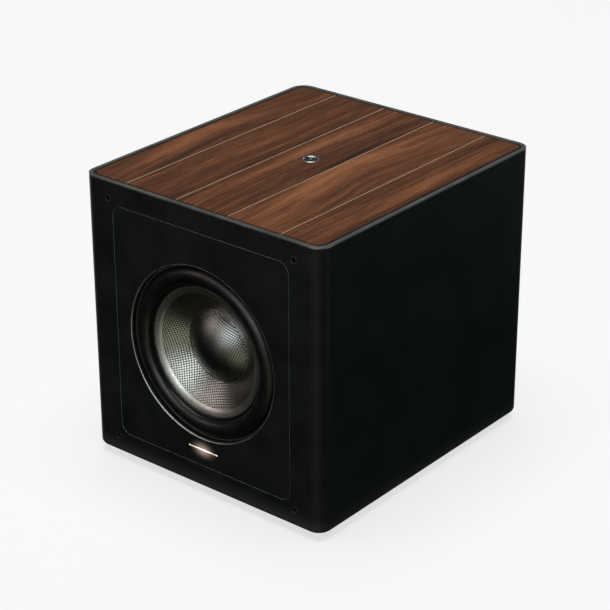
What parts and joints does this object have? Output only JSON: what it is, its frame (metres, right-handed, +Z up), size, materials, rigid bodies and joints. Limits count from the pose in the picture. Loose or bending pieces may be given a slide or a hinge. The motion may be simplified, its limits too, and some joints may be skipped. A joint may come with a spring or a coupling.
{
  "type": "subwoofer",
  "caption": "Cube-shaped powered subwoofer with a wood plank top in a metal frame, black wrapped body, a front woven-cone driver, a light bar and a rear amplifier plate.",
  "frame": {"origin": "on the floor, under the middle of the cabinet's footprint", "axes": "+Z up, the driver faces -Y, +X is to the right seen from the front"},
  "size_m": [0.33, 0.37, 0.338],
  "materials": {
    "leather_wrap": "black leather-like wrap, soft matte",
    "board": "raw fibreboard",
    "walnut": "straight-grained walnut, satin oil",
    "inlay": "pale maple stringing",
    "trim_metal": "satin graphite, bead-blasted",
    "badge_chrome": "polished",
    "black_plastic": "fine-textured black",
    "rubber": "satin butyl rubber",
    "woven_fibre": "woven glass fibre in clear resin, satin",
    "satin_ring": "satin silver-grey",
    "basket_metal": "black powder-coated casting",
    "steel": "plated",
    "ferrite": "sintered, dull",
    "copper": "enamelled copper wire",
    "foam": "open-cell foam",
    "amp_metal": "black anodised",
    "circuit": "green solder mask",
    "spider_cloth": "resin-treated cotton",
    "lamp": "lit diffuser, warm white"
  },
  "bodies": {
    "cabinet": {"cabinet_shell": "leather_wrap", "bottom_panel": "board", "top_board": "board", "inner_baffle": "board", "front_panel": "leather_wrap", "window_brace": "board", "top_trim_frame": "trim_metal", "top_plank_1": "walnut", "top_plank_2": "walnut", "top_plank_3": "walnut", "top_plank_4": "walnut", "top_plank_5": "walnut", "inlay_strip_1": "inlay", "inlay_strip_2": "inlay", "inlay_strip_3": "inlay", "inlay_strip_4": "inlay", "badge_ring": "badge_chrome", "badge_disc": "black_plastic", "grille_socket_1": "black_plastic", "grille_socket_2": "black_plastic", "grille_socket_3": "black_plastic", "grille_socket_4": "black_plastic", "foot_1": "rubber", "foot_2": "rubber", "foot_3": "rubber", "foot_4": "rubber", "damping_pad_left": "foam", "damping_pad_right": "foam", "light_bar_lens": "lamp", "light_bar_board": "circuit", "driver_basket": "basket_metal", "surround": "rubber", "surround_trim_ring": "rubber", "spider": "spider_cloth", "top_plate": "steel", "magnet": "ferrite", "pole_piece": "steel", "terminal_strip": "black_plastic", "amp_frame": "board", "amp_plate": "amp_metal", "amp_heatsink": "amp_metal", "amp_board": "circuit", "transformer": "copper", "reservoir_capacitor": "black_plastic", "control_board": "circuit", "line_input_1": "steel", "line_input_2": "steel", "rocker_housing": "black_plastic", "mains_inlet": "black_plastic", "driver_lead": "rubber"},
    "cone_assembly": {"cone": "woven_fibre", "cone_edge_ring": "satin_ring", "dust_cap": "woven_fibre", "voice_coil_former": "steel", "voice_coil": "copper"},
    "volume_control": {"volume_knob": "black_plastic"},
    "crossover_control": {"crossover_knob": "black_plastic"},
    "phase_slider": {"phase_switch": "black_plastic"},
    "power_rocker": {"power_rocker": "black_plastic"},
    "fuse_drawer": {"fuse_drawer": "black_plastic"}
  },
  "joints": [
    {"name": "cone_stroke", "type": "slide", "parent": "cabinet", "child": "cone_assembly", "axis": [0, -1, 0], "range_m": [-0.008, 0.008], "stiffness_N_per_m": 2000, "deforming": ["surround", "spider"]},
    {"name": "volume_turn", "type": "hinge", "parent": "cabinet", "child": "volume_control", "pos_m": [0.058, 0.165, 0.17], "axis": [0, 1, 0], "range_deg": [-150, 150]},
    {"name": "crossover_turn", "type": "hinge", "parent": "cabinet", "child": "crossover_control", "pos_m": [0.01, 0.165, 0.17], "axis": [0, 1, 0], "range_deg": [-150, 150]},
    {"name": "phase_slide", "type": "slide", "parent": "cabinet", "child": "phase_slider", "axis": [1, 0, 0], "range_m": [0, 0.004]},
    {"name": "power_rock", "type": "hinge", "parent": "cabinet", "child": "power_rocker", "pos_m": [0.01, 0.1705, 0.078], "axis": [1, 0, 0], "range_deg": [-16, 0]},
    {"name": "fuse_slide", "type": "slide", "parent": "cabinet", "child": "fuse_drawer", "axis": [0, 1, 0], "range_m": [0, 0.018]}
  ]
}
